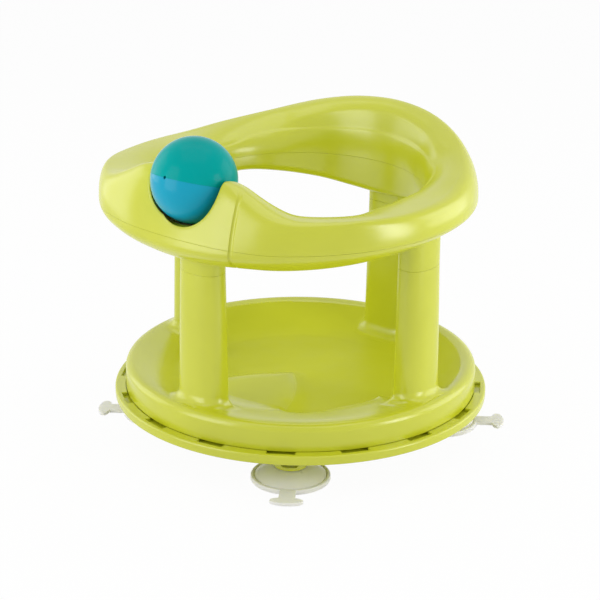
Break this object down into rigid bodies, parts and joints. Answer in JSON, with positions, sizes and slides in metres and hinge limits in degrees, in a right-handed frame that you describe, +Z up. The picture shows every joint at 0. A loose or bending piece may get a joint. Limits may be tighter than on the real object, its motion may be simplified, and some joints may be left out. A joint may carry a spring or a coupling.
{
  "type": "baby bath seat",
  "caption": "Swivelling baby bath seat: a round tray with a hollow seat and columns carries a trunk ring with a roller ball, on a slotted base ring held down by suction cups.",
  "frame": {"origin": "on the swivel axis, on the bath floor that the suction cups' rims stand on", "axes": "+Z up along the swivel axis; -Y towards the front suction cup and its pull tab; the seat is stored turned 36.3 degrees clockwise seen from above, so that its front column and ball lie between -X and -Y"},
  "size_m": [0.3658, 0.3658, 0.2897],
  "materials": {
    "lime_plastic": "glossy opaque moulded plastic",
    "teal_plastic": "glossy opaque moulded plastic",
    "blue_plastic": "glossy opaque moulded plastic",
    "clear_rubber": "milky translucent soft vinyl",
    "steel": "plain stainless steel"
  },
  "bodies": {
    "base": {"base_ring": "lime_plastic", "suction_cup_front": "clear_rubber", "suction_cup_right": "clear_rubber", "suction_cup_back": "clear_rubber", "suction_cup_left": "clear_rubber"},
    "seat": {"seat_tray": "lime_plastic", "ring_lower_shell": "lime_plastic", "ring_upper_shell": "lime_plastic", "ball_axle": "steel", "column_screw_front": "steel", "column_screw_right": "steel", "column_screw_back": "steel", "column_screw_left": "steel", "shell_screw_left_1": "steel", "shell_screw_left_2": "steel", "shell_screw_left_3": "steel", "shell_screw_left_4": "steel", "shell_screw_right_1": "steel", "shell_screw_right_2": "steel", "shell_screw_right_3": "steel", "shell_screw_right_4": "steel"},
    "ball": {"ball_upper_half": "teal_plastic", "ball_lower_half": "blue_plastic"}
  },
  "joints": [
    {"name": "seat_swivel", "type": "hinge", "parent": "base", "child": "seat", "pos_m": [0, 0, 0], "axis": [0, 0, 1], "continuous": true},
    {"name": "ball_spin", "type": "hinge", "parent": "seat", "child": "ball", "pos_m": [-0.08051, -0.10961, 0.254], "axis": [0.8059, -0.592, 0], "continuous": true}
  ]
}
